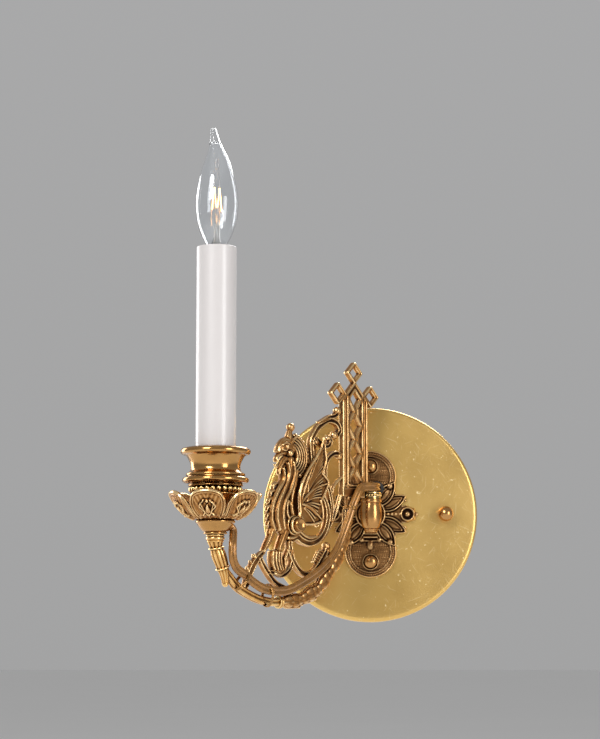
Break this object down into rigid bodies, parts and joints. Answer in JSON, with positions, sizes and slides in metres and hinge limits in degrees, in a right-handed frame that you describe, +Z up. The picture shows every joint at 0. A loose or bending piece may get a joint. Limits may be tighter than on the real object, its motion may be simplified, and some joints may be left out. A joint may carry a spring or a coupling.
{
  "type": "wall sconce candle holder",
  "caption": "Wall sconce with a swing arm: round backplate, pivot socket, pierced griffin bracket, petal dish, cup, candle sleeve and flame-tip lamp.",
  "frame": {"origin": "centre of the backplate's back face, in the wall plane", "axes": "+Z up, +X right along the wall, -Y out from the wall towards the viewer"},
  "size_m": [0.176, 0.1391, 0.2725],
  "materials": {
    "plate_brass": "satin, scratched gold-lacquered spun brass",
    "antique_brass": "cast brass, dark in the recesses and burnished on the high edges",
    "rosette_brass": "dark antique cast brass",
    "polished_brass": "turned and polished brass",
    "steel": "zinc-plated steel",
    "green_steel": "green-dyed ground screw",
    "sleeve_white": "glossy white candle sleeve",
    "cord_gold": "clear-gold insulation over copper",
    "wire_white": "insulated single wires",
    "connector": "moulded wire connector",
    "bushing": "black nylon bushing",
    "phenolic": "black phenolic socket",
    "cap_metal": "bright lamp cap",
    "cap_insulator": "black glass insulator",
    "clear_glass": "clear lamp glass",
    "lamp_wire": "fine nickel wire",
    "filament_glow": "lit tungsten filament"
  },
  "bodies": {
    "wall_plate": {"backplate": "plate_brass", "rosette": "rosette_brass", "rosette_screws": "antique_brass", "rosette_nuts": "steel", "mounting_strap": "steel", "mounting_studs": "steel", "stud_nuts": "steel", "cap_nut_left": "antique_brass", "cap_nut_right": "antique_brass", "ground_screw": "green_steel", "pivot_socket": "polished_brass", "socket_washer": "steel", "socket_nut": "steel", "thrust_washer": "polished_brass", "cord_bushing": "bushing", "pivot_cord": "cord_gold", "plate_leads": "wire_white", "wire_connectors": "connector"},
    "swing_arm": {"pivot_pin": "steel", "beaded_knuckle": "polished_brass", "lattice_post": "antique_brass", "scroll_bracket": "antique_brass", "griffin_body": "antique_brass", "griffin_wings": "antique_brass", "shoulder_screw": "polished_brass", "branch_arm": "antique_brass", "arm_band": "polished_brass", "branch_leaf": "antique_brass", "arm_terminal": "antique_brass", "base_cup": "polished_brass", "petal_dish": "antique_brass", "beaded_collar": "antique_brass", "candle_cup": "polished_brass", "threaded_tube": "steel", "tube_nut": "steel", "socket_bracket": "steel", "socket_body": "phenolic", "socket_shell": "polished_brass", "socket_contact": "polished_brass", "socket_leads": "wire_white", "candle_sleeve": "sleeve_white", "arm_cord": "cord_gold", "cord_ties": "polished_brass"},
    "lamp_base": {"lamp_cap": "cap_metal", "lamp_insulator": "cap_insulator", "lamp_contact": "cap_metal"},
    "lamp_bulb": {"lamp_glass": "clear_glass", "glass_mount": "clear_glass", "support_wires": "lamp_wire", "filament": "filament_glow"}
  },
  "joints": [
    {"name": "arm_swing", "type": "hinge", "parent": "wall_plate", "child": "swing_arm", "pos_m": [0, -0.026, 0], "axis": [0, 0, 1], "range_deg": [-35, 124], "deforming": ["pivot_cord"]},
    {"name": "bulb_travel", "type": "slide", "parent": "swing_arm", "child": "lamp_base", "axis": [0, 0, 1], "range_m": [0, 0.01016]},
    {"name": "bulb_turn", "type": "hinge", "parent": "lamp_base", "child": "lamp_bulb", "pos_m": [-0.08768, -0.11368, 0.14], "axis": [0, 0, 1], "range_deg": [0, 1440.3]}
  ],
  "couplings": [
    {"joint": "bulb_turn", "follows": "bulb_travel", "rad_per_m": 2473.7}
  ]
}
